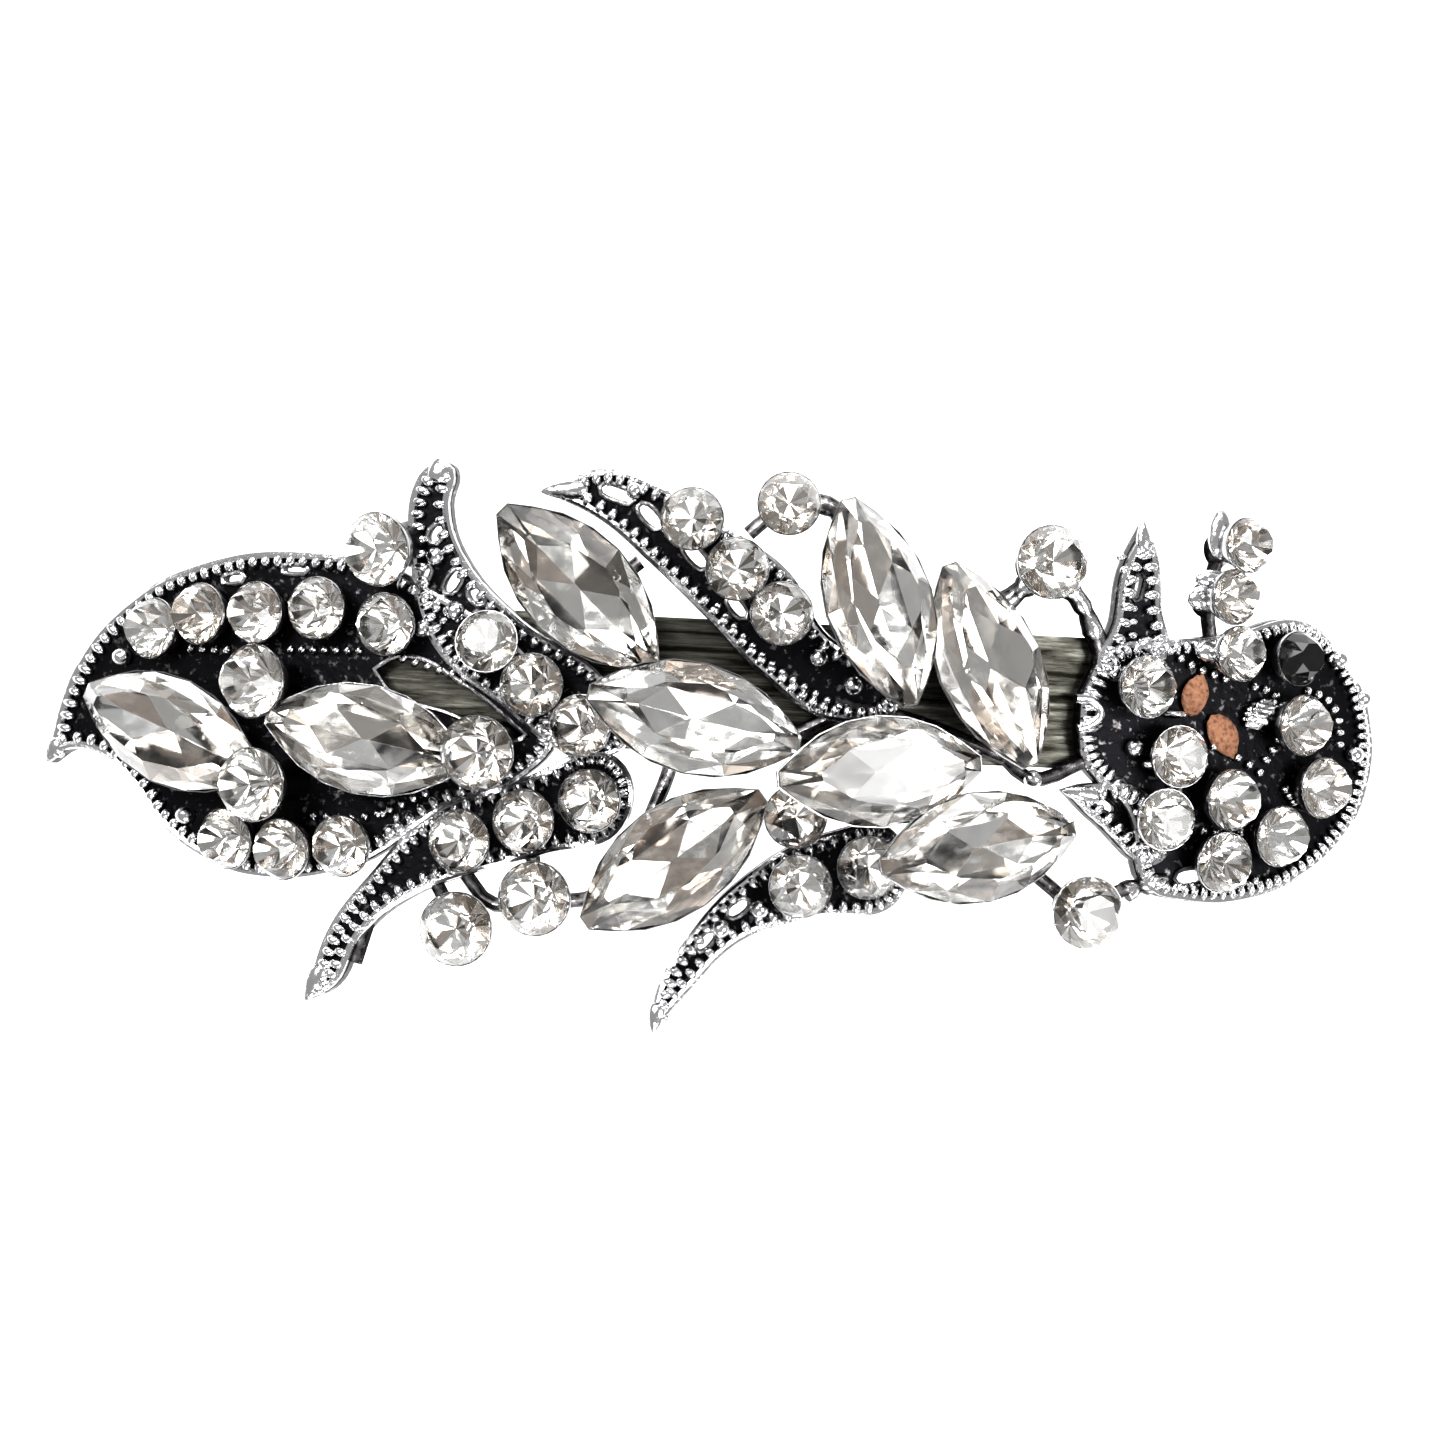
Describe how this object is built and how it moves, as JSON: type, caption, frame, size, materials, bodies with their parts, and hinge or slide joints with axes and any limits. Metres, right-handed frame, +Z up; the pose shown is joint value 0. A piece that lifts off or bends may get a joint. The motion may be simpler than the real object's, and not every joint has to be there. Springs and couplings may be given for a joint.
{
  "type": "rhinestone hair clip",
  "caption": "Arched openwork leaf-and-feather hair clip set with clear round and pointed-oval stones, on a sprung barrette clasp.",
  "frame": {"origin": "on the flat underside of the clasp arm, straight below the crown of the arch", "axes": "+X along the clip from the catch to the hinge, +Y across it towards the upright feathers, +Z up away from the wearer's head"},
  "size_m": [0.0853, 0.0347, 0.0222],
  "materials": {
    "antique_silver": "antique silver plating on cast white metal, black patina in the recesses, bright on the raised beads",
    "clip_steel": "nickel-plated stamped steel with dull lengthwise streaks",
    "spring_steel": "plated spring steel strip",
    "pin_steel": "turned steel",
    "crystal": "clear foil-backed faceted glass",
    "black_stone": "black faceted glass"
  },
  "bodies": {
    "clip": {"bud_stone_1": "crystal", "bud_stone_2": "crystal", "bud_stone_3": "crystal", "bud_stone_4": "crystal", "bud_stone_5": "crystal", "catch_base": "clip_steel", "clip_bar": "clip_steel", "crest_stone_1": "crystal", "crest_stone_2": "crystal", "crest_stone_3": "crystal", "eye_stone": "black_stone", "feather_1_stone_1": "crystal", "feather_1_stone_2": "crystal", "feather_1_stone_3": "crystal", "feather_2_stone_1": "crystal", "feather_2_stone_2": "crystal", "feather_2_stone_3": "crystal", "feather_3_stone_1": "crystal", "feather_3_stone_2": "crystal", "feather_3_stone_3": "crystal", "feather_4_stone_1": "crystal", "feather_4_stone_2": "crystal", "head_stone_1": "crystal", "head_stone_2": "crystal", "head_stone_3": "crystal", "head_stone_4": "crystal", "head_stone_5": "crystal", "head_stone_6": "crystal", "head_stone_7": "crystal", "head_stone_8": "crystal", "hinge_pin": "pin_steel", "leaf_joint_stone": "crystal", "leaf_lower_stone_1": "crystal", "leaf_lower_stone_2": "crystal", "leaf_lower_stone_3": "crystal", "leaf_raised_stone": "crystal", "leaf_tip_stone": "crystal", "leaf_upper_stone_1": "crystal", "leaf_upper_stone_2": "crystal", "leaf_upper_stone_3": "crystal", "leaf_upper_stone_4": "crystal", "leaf_upper_stone_5": "crystal", "leaf_vein_stone": "crystal", "navette_leaf_inner": "crystal", "navette_leaf_outer": "crystal", "navette_spray_1": "crystal", "navette_spray_2": "crystal", "navette_spray_3": "crystal", "navette_spray_4": "crystal", "navette_spray_5": "crystal", "navette_spray_6": "crystal", "navette_spray_7": "crystal", "openwork_casting": "antique_silver", "spray_stone": "crystal"},
    "arm": {"clasp_arm": "clip_steel"},
    "spring": {"tension_spring": "spring_steel"},
    "front_prong": {"catch_prong_front": "clip_steel"},
    "rear_prong": {"catch_prong_rear": "clip_steel"}
  },
  "joints": [
    {"name": "arm_hinge", "type": "hinge", "parent": "clip", "child": "arm", "pos_m": [0.0297, 0, 0.00145], "axis": [0, -1, 0], "range_deg": [0, 75]},
    {"name": "spring_flex", "type": "hinge", "parent": "clip", "child": "spring", "pos_m": [0.02795, 0, 0.0077], "axis": [0, 1, 0], "range_deg": [0, 3], "stiffness_Nm_per_rad": 0.5},
    {"name": "front_prong_squeeze", "type": "hinge", "parent": "clip", "child": "front_prong", "pos_m": [-0.027, -0.0016, 0.00707], "axis": [1, 0, 0], "range_deg": [0, 5], "stiffness_Nm_per_rad": 0.001},
    {"name": "rear_prong_squeeze", "type": "hinge", "parent": "clip", "child": "rear_prong", "pos_m": [-0.027, 0.0016, 0.00707], "axis": [1, 0, 0], "range_deg": [-5, 0], "stiffness_Nm_per_rad": 0.001}
  ],
  "couplings": [
    {"joint": "rear_prong_squeeze", "follows": "front_prong_squeeze", "ratio": -1}
  ]
}
